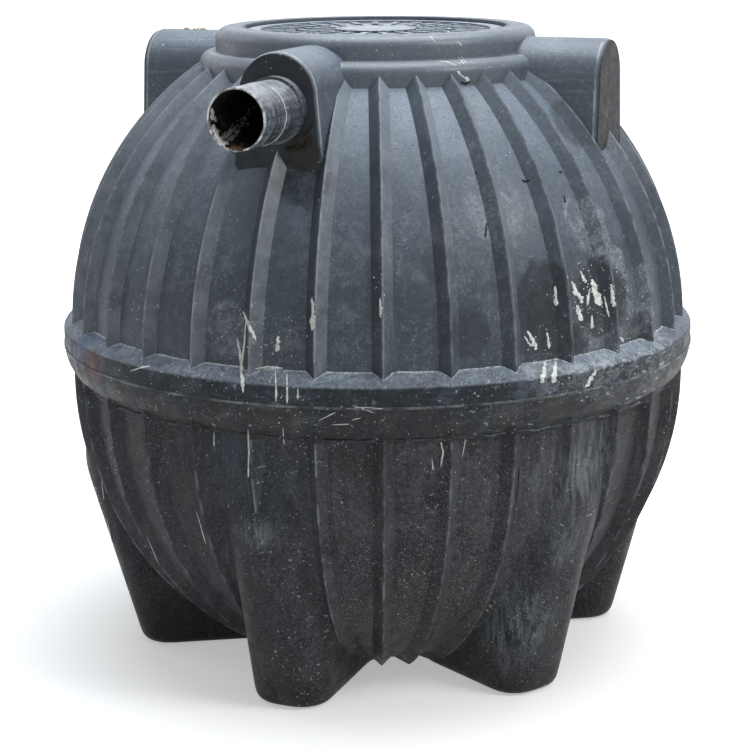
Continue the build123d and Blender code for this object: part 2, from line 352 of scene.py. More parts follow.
def upper_plastic(looks, sight, name="upper_plastic", cloudy=1.0, ribbed=True):
    """Black polyethylene of the upper half, bleached on top and painted paler there as sky light, dusty and
    scuffed.
    """
    f = Finish(name, sight)
    up = f.facing_up()
    height = f.axis("Z")
    fine = f.cloud(38.0, 6.0, 0.65)
    grain = f.cloud(210.0, 4.0, 0.7)
    patch = f.veil((3.2, 5.0, 0.6, 0.4), 0.36, 0.70)
    mottled = f.veil((13.0, 7.0, 0.70, 0.8), 0.44, 0.68)
    # Faces that look up, high on the tank, are painted paler: bleach and painted sky light.
    bleach_and_sky_light = f.times(f.between(up, 0.06, 0.80), f.between(height, 0.80, 1.25, 0.25, 1.0), 0.62)
    bleach_and_sky_light = f.times(bleach_and_sky_light, f.between(grain, 0.30, 0.70, 0.70, 1.25), f.between(patch, 0.0, 1.0, 0.80, 1.15))
    pale = f.math("ADD", bleach_and_sky_light, f.times(patch, 0.08 * cloudy))
    if not ribbed:
        # Neck and housings: faces that don't look up get painted light; below the ring's top the paleness
        # drops by a fifth.
        pale = f.math("ADD", f.times(pale, 0.80), f.between(up, 0.1, 0.6, 0.20, 0.05))
        pale = f.times(pale, f.between(height, 1.3725, 1.3750, 0.80, 1.0))
    f.base = f.colour(pale, looks.upper, looks.upper_pale)
    f.lay(looks.dust, mottled, f.between(fine, 0.40, 0.62, 0.1, 1.0), 0.13 * cloudy)
    crisp = f.veil((120.0, 8.0, 0.85, 0.4), 0.50, 0.62)
    f.lay(looks.dust, crisp, f.veil((7.0, 5.0), 0.38, 0.62, 0.05, 0.22))
    pits = f.veil((95.0, 8.0, 0.85, 0.4, (1, 1, 1), (30, 0, 50)), 0.38, 0.48, 1.0, 0.0)
    f.lay(looks.wiped_and_shade, pits, 0.34 if ribbed else 0.12)
    if ribbed:
        upper_marks(f, looks, fine, grain)
    runs = f.veil((40.0, 4.0, 0.6, 0.0, (1, 1, 0.04)), 0.56, 0.72)
    f.lay(looks.dust, runs, 0.06)
    scratch = f.most(
        f.scratches(120.0, 40, (20, 35, 10), 0.71), f.scratches(140.0, 36, (-30, 20, 60), 0.72),
        f.scratches(110.0, 50, (60, -15, 35), 0.72),
    )
    f.lay(looks.dust, scratch, f.veil((6.0,), 0.42, 0.64, 0.02, 0.42))
    specks = f.times(f.dots(110.0, 0.16, 0.10), f.veil((7.0,), 0.42, 0.66, 0.15, 1.0))
    specks = f.most(specks, f.times(f.dots(250.0, 0.30, 0.12, (10, 20, 5)), f.veil((5.0,), 0.46, 0.62)))
    dense = f.times(f.dots(230.0, 0.34, 0.30, (40, 5, 15)), f.fall(height, 0.76, 0.98))
    specks = f.most(specks, f.times(dense, f.veil((10.0, 4.0), 0.44, 0.60)))
    f.lay(looks.dust, specks, f.between(height, 0.80, 1.25, 0.75, 0.35))
    rough = f.math("ADD", f.between(fine, 0.3, 0.7, 0.30, 0.46), f.times(patch, 0.06))
    orange = f.bump(f.cloud(260.0, 2.0), 0.0005, 0.6)
    return f, rough, f.bump(f.cloud(5.0, 2.0), 0.005, 0.15 if ribbed else 0.12, orange)


def upper_marks(f, looks, fine, grain):
    """Dusty clouds, wiped patches, a painted shadow under the inlet housing, painted highlight and shade on
    the rib flanks, and worn rib edges with a painted highlight on the upper shells.
    """
    ragged = f.veil((24.0, 8.0, 0.76, 0.9), 0.44, 0.58, 0.15, 1.0)
    dusty = f.between(grain, 0.38, 0.60, 0.2, 1.0)
    clean = f.between(fine, 0.34, 0.56, 0.45, 1.0)
    for x, y, size, amount in (
        (500, 215, 0.11, 0.26), (592, 222, 0.10, 0.42), (640, 300, 0.11, 0.50), (608, 350, 0.11, 0.40),
        (330, 262, 0.10, 0.16), (420, 235, 0.14, 0.14), (232, 330, 0.09, 0.30), (612, 262, 0.07, 0.46),
    ):
        f.lay(looks.dust, f.blot((x, y), size * 1.3), ragged, dusty, amount)
    # Wiped patches; the one at 305, 182 is a painted shadow under the inlet housing.
    for x, y, size, amount in (
        (540, 298, 0.11, 0.92), (604, 300, 0.12, 0.85), (305, 182, 0.09, 0.80), (574, 120, 0.10, 0.50),
        (566, 345, 0.09, 0.85), (470, 330, 0.08, 0.55), (118, 300, 0.08, 0.45), (438, 262, 0.06, 0.30),
        (640, 338, 0.08, 0.80), (528, 340, 0.06, 0.60),
    ):
        f.lay(looks.wiped_and_shade, f.blot((x, y), size * 1.25, 9.0, (1, 1, 0.5)), clean, amount)
    # Rib flanks facing anticlockwise get a painted highlight, weaker low on the left as seen from the camera;
    # flanks facing clockwise get painted shade, darker on the left.
    side, rightward = f.sideways(), f.rightward()
    pale = f.times(f.between(side, 0.15, 0.50), f.veil((18.0, 5.0), 0.3, 0.7, 0.12, 0.36))
    low = f.fall(f.axis("Z"), 0.84, 1.08)
    pale = f.times(pale, f.math("SUBTRACT", 1.0, f.times(low, f.between(rightward, -0.16, 0.02, 0.0, 0.7))))
    f.lay(looks.worn_and_highlight, pale)
    flank_shade = f.times(f.fall(side, -0.50, -0.15), f.between(rightward, -0.05, 0.45, 0.55, 0.12))
    f.lay(looks.wiped_and_shade, flank_shade)
    # Rib crests painted pale: wear and a painted highlight.
    crest = f.between(f.distance(UPPER_CENTRE), *CREST)
    f.lay(looks.worn_and_highlight, crest, f.veil((30.0,), 0.36, 0.64, 0.08, 0.65))


def neck_plastic(looks):
    """The same plastic on the neck: smoother, with the gap round the lid painted dark as shade."""
    f, rough, normal = upper_plastic(looks, None, "neck_plastic", 0.4, False)
    reach = f.reach()
    # Painted shade: the seat wall below the lid and a band of rim top beside the gap are painted near black,
    # widening the gap's shadow.
    deep = f.times(f.fall(reach, 0.2958, 0.2964), f.fall(f.axis("Z"), 1.4185, 1.4205))
    lip = f.times(f.between(reach, 0.2960, 0.2966), f.fall(reach, 0.3010, 0.3030))
    gap_shade = f.most(deep, f.times(lip, f.veil((14.0, 4.0), 0.35, 0.55, 0.55, 1.0)))
    f.lay(NEAR_BLACK, gap_shade, 0.92)
    junction = f.band(f.axis("Z"), RING_TOP_Z, 0.0012, 0.0035)
    f.lay(looks.worn_and_highlight, junction, f.veil((12.0,), 0.3, 0.6, 0.1, 0.55))
    return f.shade(rough, normal, 0.5)


def housing_plastic(looks, sight):
    """The same plastic on the pipe housings: dark faces, brushed barrels, worn arches."""
    f, rough, normal = upper_plastic(looks, sight, "housing_plastic", 0.4, False)
    x, y = f.math("ABSOLUTE", f.axis("X")), f.math("ABSOLUTE", f.axis("Y"))
    out = f.most(x, y)
    brushed = f.veil((90.0, 4.0, 0.6, 0.2, (0.06, 0.9, 0.9)), 0.52, 0.72)
    f.lay(looks.dust, brushed, 0.16)
    face_at = -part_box("pipe_housing_1")[0][1]
    face = f.between(out, face_at - 0.0075, face_at - 0.0010)
    soil = f.veil((16.0, 5.0, 0.65), 0.40, 0.68)
    crust = f.veil((45.0, 7.0, 0.75, 0.5), 0.44, 0.58)
    brown = f.colour(crust, (0.014, 0.012, 0.011), (0.085, 0.070, 0.058))
    dark = f.colour(f.times(soil, f.between(x, y, f.math("ADD", y, 0.02), 0.0, 0.9)), looks.wiped_and_shade, brown)
    f.lay(dark, face, 0.92)
    f.lay(looks.dust, f.dots(90.0, 0.24, 0.22), face, 0.5)
    f.lay((0.012, 0.009, 0.007), f.blot((301, 152), 0.075, 22.0), 0.92)
    edge = f.band(out, face_at - 0.0105, 0.0012, 0.0034)
    f.lay(looks.worn_and_highlight, edge, f.veil((30.0,), 0.3, 0.6, 0.1, 0.8))
    return f.shade(f.math("ADD", rough, f.times(face, 0.3)), normal, 0.3)


def lower_plastic(looks, sight, name="lower_plastic", leg=False):
    """Black polyethylene of the lower half, speckled with soil splashes, with painted shade on its left side
    and painted light and shade on the rib flanks.
    """
    f = Finish(name, sight)
    patch = f.veil((4.0, 5.0, 0.6, 0.5), 0.36, 0.70)
    f.base = f.colour(f.times(patch, 0.30 if leg else 0.55), looks.lower, looks.lower_pale)
    brushed = f.veil((24.0, 8.0, 0.78, 0.5, (1, 1, 0.3)), 0.46, 0.64)
    f.lay(looks.lower_pale, brushed, 0.50)
    # Painted shade: darker towards the left of the tank as seen from the camera.
    f.lay((0.008, 0.008, 0.011), f.between(f.rightward(), -0.66, -0.20, 0.38, 0.0))
    pits = f.veil((80.0, 8.0, 0.85, 0.4), 0.42, 0.54, 1.0, 0.0)
    f.lay((0.007, 0.007, 0.008), pits, 0.75)
    runs = f.veil((34.0, 4.0, 0.5, 0.0, (1, 1, 0.05)), 0.52, 0.74)
    f.lay(looks.lower_pale, runs, 0.14 if leg else 0.30)
    low = f.fall(f.axis("Z"), 0.03, 0.34)
    soil = f.times(f.veil((11.0, 6.0, 0.7, 0.4), 0.44, 0.70), f.between(low, 0.0, 1.0, 0.12, 0.55))
    f.lay(looks.soil, soil, 0.5 if leg else 1.0)
    streaks = f.veil((90.0, 6.0, 0.75, 0.3, (1, 1, 0.12)), 0.42, 0.62, 0.1, 1.0)
    for x, y, size, colour, amount in (
        (255, 480, 0.11, BLUE_HAZE, 0.55), (232, 452, 0.06, BLUE_HAZE, 0.5),
        (255, 535, 0.034, looks.dust, 0.30), (505, 636, 0.07, looks.dust, 0.36),
        (535, 622, 0.06, looks.dust, 0.16), (415, 612, 0.13, (0.060, 0.044, 0.028), 0.60),
        (566, 545, 0.055, looks.worn_and_highlight, 0.30), (572, 470, 0.11, looks.worn_and_highlight, 0.30),
        (520, 600, 0.06, looks.worn_and_highlight, 0.20), (596, 452, 0.10, looks.worn_and_highlight, 0.24),
    ):
        f.lay(colour, f.fall(f.distance((x, y)), 0.0, size * 1.6), streaks, amount)
    # Near-black spots laid in a ragged mask at these places.
    dark_spots = f.veil((50.0, 4.0), 0.38, 0.50)
    for x, y, size, amount in (
        (325, 548, 0.022, 0.9), (330, 553, 0.016, 0.8), (512, 640, 0.03, 0.8), (434, 498, 0.035, 0.85),
        (457, 535, 0.03, 0.7), (394, 572, 0.02, 0.7),
    ):
        f.lay((0.006, 0.006, 0.007), f.near((x, y), size), dark_spots, amount)
    dusty = f.between(f.distance((430, 600)), 0.08, 0.42, 1.0, 0.35)
    grain = f.times(f.dots(190.0, 0.24, 0.28), f.veil((7.0, 4.0), 0.34, 0.58, 0.15, 1.0))
    finer = f.times(f.dots(340.0, 0.40, 0.50, (25, 5, 60)), f.veil((9.0, 4.0), 0.36, 0.56, 0.3, 1.0))
    coarser = f.times(f.dots(75.0, 0.13, 0.14, (15, 40, 5)), 0.8)
    grain = f.most(grain, finer, coarser, f.times(f.veil((300.0, 3.0, 0.7), 0.60, 0.68), 0.5))
    f.lay(looks.dust, grain, dusty, 0.95)
    if not leg:
        # Rib flanks facing anticlockwise get a faint painted highlight, those facing clockwise painted shade;
        # crests are pale from wear and a painted highlight.
        side = f.sideways()
        f.lay(looks.worn_and_highlight, f.between(side, 0.15, 0.50), 0.035)
        f.lay(FLANK_SHADE_BLACK, f.fall(side, -0.50, -0.15), 0.20)
        crest = f.between(f.distance(LOWER_CENTRE), *CREST)
        f.lay(looks.worn_and_highlight, crest, f.veil((24.0,), 0.42, 0.66, 0.02, 0.50))
    scratch = f.most(f.scratches(120.0, 18, (20, 35, 80), 0.70), f.scratches(140.0, 12, (-40, 10, 30), 0.71))
    f.lay(looks.dust, scratch, f.veil((5.0,), 0.42, 0.62, 0.05, 0.50))
    rough = f.veil((40.0, 5.0), 0.3, 0.7, 0.40, 0.60)
    orange = f.bump(f.cloud(220.0, 4.0, 0.65), 0.0010, 0.8)
    return f.shade(rough, f.bump(f.cloud(6.0, 2.0), 0.006, 0.25, orange), 0.14)


def belt_plastic(looks, sight):
    """Belt: dusty slope on top painted pale as sky light, painted highlights along its edges, scuffed dark
    face, brown under the seam.
    """
    f = Finish("belt_plastic", sight)
    height, facing = f.axis("Z"), f.facing_up()
    up = f.between(facing, 0.10, 0.80)
    below = f.fall(height, 0.714, 0.726)
    f.base = f.colour(below, looks.wiped_and_shade, looks.lower)
    cloudy = f.veil((4.5, 4.0, 0.6), 0.36, 0.64, 0.72, 1.15)
    # Painted sky light: the slope that looks up is painted paler, most near its top.
    f.lay(looks.upper_pale, up, f.between(height, 0.762, 0.783, 0.42, 0.86), cloudy)
    f.lay(looks.upper, f.veil((14.0, 6.0, 0.68, 0.7, (1, 1, 2)), 0.48, 0.62), up, 0.55)
    # Painted highlight where the slope rounds over into the face.
    worn_and_highlight = f.times(f.between(facing, 0.35, 0.65), f.between(facing, 0.70, 0.95, 1.0, 0.2))
    f.lay(looks.worn_and_highlight, worn_and_highlight, 0.16)
    f.lay(looks.upper_pale, f.veil((11.0, 8.0, 0.76, 0.6, (1, 1, 2)), 0.48, 0.66), 0.22)
    # Painted highlight: a thin pale line along the belt's top edge where it meets the shell.
    brim_highlight = f.times(f.fall(f.distance(UPPER_CENTRE), 0.6850, 0.6885), f.between(height, 0.760, 0.768))
    f.lay(looks.worn_and_highlight, brim_highlight, f.veil((26.0, 5.0), 0.36, 0.56, 0.3, 0.9))
    torn = f.veil((34.0, 9.0, 0.82, 0.9, (1, 1, 1.6)), 0.44, 0.58)
    torn = f.times(torn, f.between(facing, -0.2, 0.5, 0.22, 1.0))
    for x, y, size, amount in (
        (655, 350, 0.15, 0.80), (606, 368, 0.12, 0.80), (552, 374, 0.10, 0.65), (190, 372, 0.06, 0.4),
    ):
        f.lay(looks.dust, f.near((x, y), size), torn, amount)
    f.lay(looks.soil, below, f.veil((12.0, 6.0, 0.7, 0.3), 0.42, 0.7), 0.46)
    for x, y, colour in (
        (92, 366, (0.10, 0.030, 0.028)), (88, 341, (0.055, 0.080, 0.17)), (78, 352, (0.045, 0.06, 0.12)),
    ):
        f.lay(colour, f.blot((x, y), 0.07, 20.0), 0.62)
    seam = f.band(height, SEAM_Z, 0.0020, 0.0034)
    f.lay(looks.worn_and_highlight, seam, f.veil((15.0,), 0.42, 0.64, 0.03, 0.6))
    crisp = f.veil((100.0, 8.0, 0.85, 0.5), 0.48, 0.62)
    f.lay(looks.dust, crisp, f.between(facing, 0.0, 0.6, 0.05, 0.36))
    pits = f.veil((80.0, 8.0, 0.85, 0.4, (1, 1, 1), (30, 0, 50)), 0.40, 0.52, 1.0, 0.0)
    f.lay(looks.wiped_and_shade, pits, 0.45)
    grain = f.times(f.dots(150.0, 0.16, 0.08), f.veil((8.0, 4.0), 0.40, 0.62, 0.1, 1.0))
    grain = f.most(grain, f.times(f.dots(250.0, 0.34, 0.22, (5, 30, 20)), f.veil((6.0, 4.0), 0.42, 0.60)))
    f.lay(looks.dust, grain, 0.65)
    scratch = f.most(f.scratches(110.0, 14, (30, 15, 40), 0.69), f.scratches(130.0, 10, (-20, 50, 10), 0.70))
    f.lay(looks.dust, scratch, f.veil((5.0,), 0.4, 0.62, 0.1, 0.7))
    rough = f.veil((35.0, 5.0), 0.3, 0.7, 0.42, 0.60)
    orange = f.bump(f.cloud(180.0, 4.0), 0.0007, 0.6)
    return f.shade(rough, f.bump(f.cloud(9.0, 4.0), 0.010, 0.5, orange), 0.14)


def pipe_plastic(looks):
    """Drain pipe: streaked outside, pale on top from wear and a painted highlight, worn pale at the mouth,
    black inside.
    """
    f = Finish("pipe_plastic")
    distance = f.math("ABSOLUTE", f.axis("Y"))
    z = f.math("SUBTRACT", f.axis("Z"), PIPE_Z)
    streak = f.veil((170.0, 4.0, 0.7, 0.1, (1, 0.05, 1)), 0.40, 0.66)
    ring = f.veil((230.0, 3.0, 0.65, 0.0, (0.05, 1, 0.05)), 0.46, 0.64)
    f.base = f.colour(f.times(streak, ring, 0.95), (0.026, 0.032, 0.042), looks.worn_and_highlight)
    # Top of the pipe painted pale: wear and a painted highlight.
    top = f.between(f.facing_up(), 0.25, 0.95)
    f.lay(looks.worn_and_highlight, top, f.veil((50.0, 6.0, 0.7), 0.35, 0.60, 0.35, 1.0))
    smear = f.times(f.between(distance, 0.680, 0.700), f.veil((45.0, 6.0, 0.7), 0.46, 0.62))
    f.lay(looks.worn_and_highlight, smear, 0.45)
    f.lay(looks.dust, f.dots(150.0, 0.24, 0.22), 0.6)
    root = f.times(f.fall(distance, 0.540, 0.585), f.fall(f.facing_up(), -0.4, 0.4))
    f.lay(MUD, root, f.veil((30.0, 5.0), 0.35, 0.6, 0.4, 1.0))
    inside = f.fall(f.length(f.axis("X"), z), 0.0592, 0.0600)
    f.lay(MUD, inside, 0.95)
    crust = f.times(inside, f.veil((40.0, 6.0, 0.7, 0.6), 0.52, 0.60), f.between(distance, 0.62, 0.73))
    f.lay((0.30, 0.27, 0.19), crust, f.between(z, -0.03, 0.02, 1.0, 0.2))
    mouth = f.between(distance, 0.7320, 0.7350)
    f.lay(looks.lime, mouth, f.veil((70.0, 5.0), 0.40, 0.56, 0.10, 1.0))
    rough = f.veil((30.0, 4.0), 0.3, 0.7, 0.26, 0.42)
    return f.shade(rough, f.bump(f.cloud(200.0, 3.0, 0.5, 0.0, (1, 0.1, 1)), 0.0004, 0.6), 0.6)


def lid_plastic(looks):
    """Lid: bleached and dusty on top, dark in the corners, with painted shade along the grips and round its
    edge.
    """
    f = Finish("lid_plastic")
    height, reach = f.axis("Z"), f.reach()
    top = f.between(height, cad_high.z - 0.0125, cad_high.z - 0.0085)
    patch = f.veil((9.0, 5.0, 0.6, 0.4), 0.35, 0.65)
    pale = f.math("ADD", f.times(top, 0.20), f.times(patch, 0.25), clamp=True)
    f.base = f.colour(f.math("ADD", pale, 0.55, clamp=True), looks.upper, looks.upper_pale)
    film = f.times(f.veil((22.0, 6.0, 0.65), 0.30, 0.7), f.between(f.facing_up(), 0.6, 0.95), 0.60)
    f.lay(looks.dust, film, f.between(top, 0.0, 1.0, 0.80, 1.0))
    turn = f.math("ARCTAN2", f.axis("Y"), f.axis("X"))
    row = f.math("DIVIDE", reach, 0.023)
    # Dashed rings: painted shade along the edges of the treads; a dark line round the hub and dirt marks.
    field = f.times(f.between(reach, 0.086, 0.090), f.fall(reach, 0.268, 0.272))
    dash = f.math("SINE", f.math("ADD", f.times(turn, 30.0), f.times(f.math("FLOOR", row), 2.1)))
    line = f.times(f.between(f.math("FRACT", row), 0.80, 0.86), f.between(dash, -0.35, -0.10), field)
    hub = f.band(reach, 0.083, 0.0014, 0.0024)
    marks = f.veil((48.0, 8.0, 0.78, 0.9), 0.545, 0.575)
    marks = f.times(marks, f.veil((11.0, 4.0), 0.40, 0.56, 0.15, 1.0))
    f.lay((0.014, 0.016, 0.019), f.most(line, f.times(hub, 0.6), marks), 0.85)
    f.lay(NEAR_BLACK, f.fall(height, cad_high.z - 0.016, cad_high.z - 0.012), 0.22)
    # Painted shadow of the gap round the lid's edge.
    f.lay((0.010, 0.011, 0.013), f.between(reach, 0.2835, 0.2865), 0.50)
    rough = f.veil((40.0, 4.0), 0.3, 0.7, 0.36, 0.5)
    return f.shade(rough, f.bump(f.cloud(200.0, 3.0), 0.0005, 0.6), 0.6)


def lime_finish(looks):
    """Dried cement: chalky, with a little grey and fine pits."""
    f = Finish("lime_finish")
    f.base = f.colour(f.veil((90.0, 5.0, 0.6), 0.35, 0.7), looks.lime, (0.46, 0.46, 0.44))
    return f.shade(0.85, f.bump(f.cloud(400.0, 4.0, 0.7), 0.0006, 0.9), 0.3)


def mud_finish(name, first, second):
    """Dried soil: rough, in two browns."""
    f = Finish(name)
    f.base = f.colour(f.veil((120.0, 5.0, 0.65), 0.35, 0.65), first, second)
    return f.shade(0.9, f.bump(f.cloud(350.0, 5.0, 0.7), 0.0012, 1.0), 0.2)


def paint(objects, material):
    for item in objects:
        item.data.materials.clear()
        item.data.materials.append(material)


def sight():
    """Sight lines of the scene's camera on the CAD solids."""
    return Sight(bpy.context.scene.camera, list(NODES.values()))


def piece(name, bm, material):
    """Turn a finished bmesh into a piece that rides on the tank."""
    bmesh.ops.recalc_face_normals(bm, faces=bm.faces)
    for vert in bm.verts:
        vert.co = [max(low, min(high, value)) for low, value, high in zip(cad_low, vert.co, cad_high)]
    mesh = bpy.data.meshes.new(name)
    bm.to_mesh(mesh)
    bm.free()
    item = bpy.data.objects.new(name, mesh)
    bpy.context.scene.collection.objects.link(item)
    mesh.materials.append(material)
    mesh.shade_smooth()
    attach(item, "tank")
    return item


def places(line):
    """Places of the picture from a flat row of numbers."""
    return [Vector(place) for place in zip(line[::2], line[1::2])]


def along(points, share):
    """Place and direction at a share of a drawn line's length."""
    runs = [(b - a).length for a, b in zip(points, points[1:])]
    left = share * sum(runs)
    for start, end, run in zip(points, points[1:], runs):
        if left <= run or end is points[-1]:
            return start.lerp(end, min(1.0, left / run)), (end - start).normalized()
        left -= run


def grounded(look, points, steps):
    """Where a drawn line lies on the tank, never leaping to a surface behind."""
    hits = [look.meet(*along(points, index / steps)[0]) for index in range(steps + 1)]
    leap = 0.02 + 0.010 * sum((b - a).length for a, b in zip(points, points[1:])) / steps
    middle = steps // 2
    if hits[middle][0] is None:
        hits[middle] = next(hit for hit in hits if hit[0] is not None)
    for index in [*range(middle + 1, steps + 1), *range(middle - 1, -1, -1)]:
        before = hits[index - 1 if index > middle else index + 1]
        if hits[index][0] is None or (hits[index][0] - before[0]).length > leap:
            hits[index] = before
    return hits


def dab(bm, look, line, width, height, ragged=0.25, fineness=3):
    """Add one dried drip: a rounded blob drawn along a line and laid on the tank."""
    points = places(line)
    steps = 4 if fineness == 1 else 16
    spine = grounded(look, points, steps)
    made = bmesh.ops.create_icosphere(bm, subdivisions=fineness, radius=1.0)["verts"]
    for vert in made:
        side, rise, share = vert.co
        blunt = (1 - min(1.0, abs(share)) ** 4) ** 0.5 / max(1e-3, (1 - min(1.0, share * share)) ** 0.5)
        spot, heading = along(points, (share + 1) / 2)
        wobble = 1 + ragged * noise.noise(Vector((spot.x * 0.35, spot.y * 0.35, side)))
        wobble += 0.9 * ragged * noise.noise(Vector((spot.x * 1.3, spot.y * 0.9, side * 1.5 + 7)))
        thick = 0.75 + 0.25 * share
        across = Vector((-heading.y, heading.x)) * side * blunt * wobble * thick * width / 2
        ground, normal = look.meet(spot.x + across.x, spot.y + across.y)
        under = spine[round(steps * (share + 1) / 2)]
        if ground is None or (ground - under[0]).length > 0.02 + 0.008 * width:
            ground, normal = under
        vert.co = ground + normal * height * max(rise * blunt, -0.25)


def lump(bm, centre, size, seed):
    """Add one clod: a sphere pushed out of shape by noise."""
    made = bmesh.ops.create_icosphere(bm, subdivisions=3, radius=1.0)["verts"]
    for vert in made:
        swell = 1 + 0.45 * noise.noise(vert.co * 1.6 + Vector((seed, 0, 0))) + 0.15 * noise.noise(vert.co * 5)
        vert.co = centre + Vector(size) * swell * vert.co


def wire_ring(bm, axis_point, radius, thickness, steps, wander, upright):
    """Add a thin ring, about the upright axis or about a pipe, with a slight wander."""
    spin_axis = Vector((0, 0, 1)) if upright else Vector((0, 1, 0))
    profile = bmesh.ops.create_circle(bm, segments=8, radius=thickness)["verts"]
    for vert in profile:
        vert.co = axis_point + Vector((radius + vert.co.x, 0, 0)) + spin_axis * vert.co.y
    edges = list({edge for vert in profile for edge in vert.link_edges})
    bmesh.ops.spin(
        bm, geom=profile + edges, cent=axis_point, axis=spin_axis, angle=math.tau, steps=steps, use_merge=True
    )
    bmesh.ops.remove_doubles(bm, verts=bm.verts, dist=1e-6)
    for vert in bm.verts:
        arm = vert.co - axis_point
        arm -= spin_axis * arm.dot(spin_axis)
        if abs(arm.length - radius) < 3 * thickness:
            push = noise.noise(vert.co * 60) * wander
            vert.co += arm.normalized() * push * 0.4 + spin_axis * noise.noise(vert.co * 35) * wander


def moulded_leg(number, voxel, passes):
    """Leg with its neighbouring ribs, melted into one soft form that sits just under the ribs."""
    leg = NODES[f"leg_{number}"]
    angle = math.tau * (number - 1) / 6
    bm = bmesh.new()
    bm.from_mesh(leg.data)
    body_centre = Vector(LOWER_CENTRE)
    shells = sorted(group("lower_shell"), key=lambda item: abs(math.remainder(
        math.tau * (int(item.name.rsplit("_", 1)[1]) - 1) / 8 - angle, math.tau)))[:3]
    for shell in shells:
        count = len(bm.verts)
        bm.from_mesh(shell.data)
        bm.verts.ensure_lookup_table()
        bmesh.ops.scale(bm, vec=(0.9972,) * 3, space=Matrix.Translation(-body_centre), verts=bm.verts[count:])
    bmesh.ops.remove_doubles(bm, verts=bm.verts, dist=1e-5)
    rough_mesh = bpy.data.meshes.new("leg_rough")
    bm.to_mesh(rough_mesh)
    bm.free()
    rough = bpy.data.objects.new("leg_rough", rough_mesh)
    bpy.context.scene.collection.objects.link(rough)
    remesh = rough.modifiers.new("melt", "REMESH")
    remesh.mode = "VOXEL"
    remesh.voxel_size = voxel
    fine = bpy.data.meshes.new_from_object(rough.evaluated_get(bpy.context.evaluated_depsgraph_get()))
    rough.modifiers.clear()
    rough.data = fine
    weights = rough.vertex_groups.new(name="near_body")
    for vert in fine.vertices:
        rise = min(1.0, max(0.0, (vert.co.z - 0.06) / 0.22))
        weights.add([vert.index], 0.25 + 0.75 * rise * rise, "REPLACE")
    soften = rough.modifiers.new("soften", "SMOOTH")
    soften.factor = 0.5
    soften.iterations = passes
    soften.vertex_group = weights.name
    soft = bpy.data.meshes.new_from_object(rough.evaluated_get(bpy.context.evaluated_depsgraph_get()))
    bpy.data.objects.remove(rough)
    bm = bmesh.new()
    bm.from_mesh(soft)
    out = Vector((math.sin(angle), -math.cos(angle), 0))
    across = Vector((math.cos(angle), math.sin(angle), 0))
    away = []
    for vert in bm.verts:
        reach, side = vert.co.dot(out), abs(vert.co.dot(across))
        inside = (vert.co - body_centre).length < LEG_UNDER_WALL and vert.co.z > 0.02
        if inside or reach < LEG_BACK or side > LEG_HALF_WIDTH or vert.co.z > LEG_TOP_Z:
            away.append(vert)
    bmesh.ops.delete(bm, geom=away, context="VERTS")
    for vert in bm.verts:
        vert.co.z = max(vert.co.z, 0.0)
    return bm


